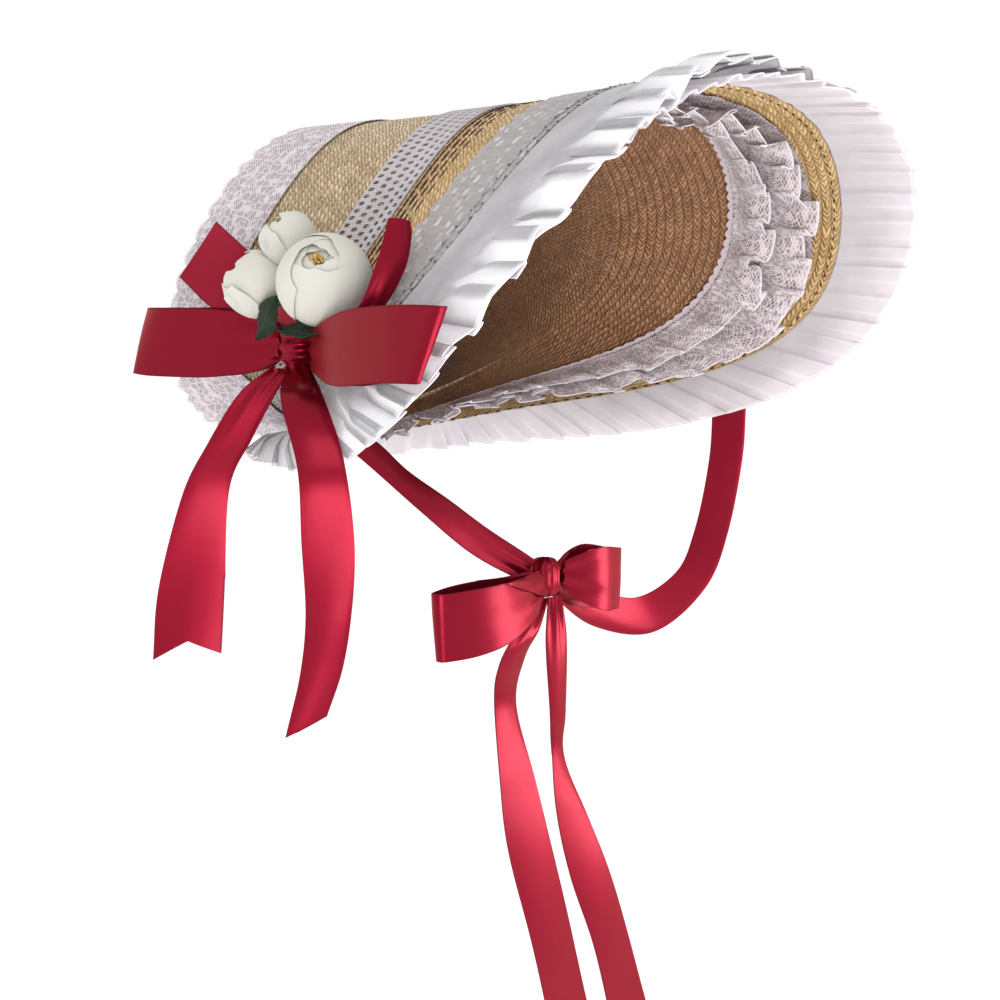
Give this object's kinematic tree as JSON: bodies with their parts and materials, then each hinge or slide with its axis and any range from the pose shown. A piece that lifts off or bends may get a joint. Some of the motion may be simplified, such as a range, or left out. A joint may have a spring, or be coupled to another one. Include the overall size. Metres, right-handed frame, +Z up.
{
  "type": "straw bonnet",
  "caption": "Straw poke bonnet with lace bands, a gathered ruffle and pleated frill, a side bow with roses and ribbons tied under the chin.",
  "frame": {"origin": "centre of the wearer's head where the crown sits on it", "axes": "+X to the wearer's left, -Y to the front of the face, +Z up"},
  "size_m": [0.3764, 0.3536, 0.5157],
  "materials": {
    "braided_straw": "matt plaited straw",
    "white_lace": "matt cotton lace",
    "grey_tulle": "sheer dotted net",
    "chiffon": "soft sheer cloth",
    "crimson_satin": "glossy satin",
    "rose_petal": "matt petal cloth",
    "leaf_green": "matt leaf cloth"
  },
  "bodies": {
    "root": {"crown": "braided_straw", "brim": "braided_straw", "crown_back_lace": "white_lace", "crown_lace_band": "white_lace", "brim_tulle": "grey_tulle", "brim_ruffle": "chiffon", "pleated_frill": "chiffon", "inner_lace_lining": "white_lace", "inner_ruffle": "white_lace", "bow_knot": "crimson_satin", "bow_loop_back": "crimson_satin", "bow_loop_front": "crimson_satin", "bow_end_upper": "crimson_satin", "bow_fold_upper": "crimson_satin", "bow_tail_back": "crimson_satin", "bow_tail_front": "crimson_satin", "rose_large": "rose_petal", "rose_small": "rose_petal", "rose_half": "rose_petal", "leaf_back": "leaf_green", "leaf_front": "leaf_green", "chin_knot": "crimson_satin", "chin_loop_right": "crimson_satin", "chin_loop_left": "crimson_satin", "chin_tail_right": "crimson_satin", "chin_tail_left": "crimson_satin", "chin_strap_right": "crimson_satin", "chin_strap_left": "crimson_satin"}
  },
  "joints": []
}
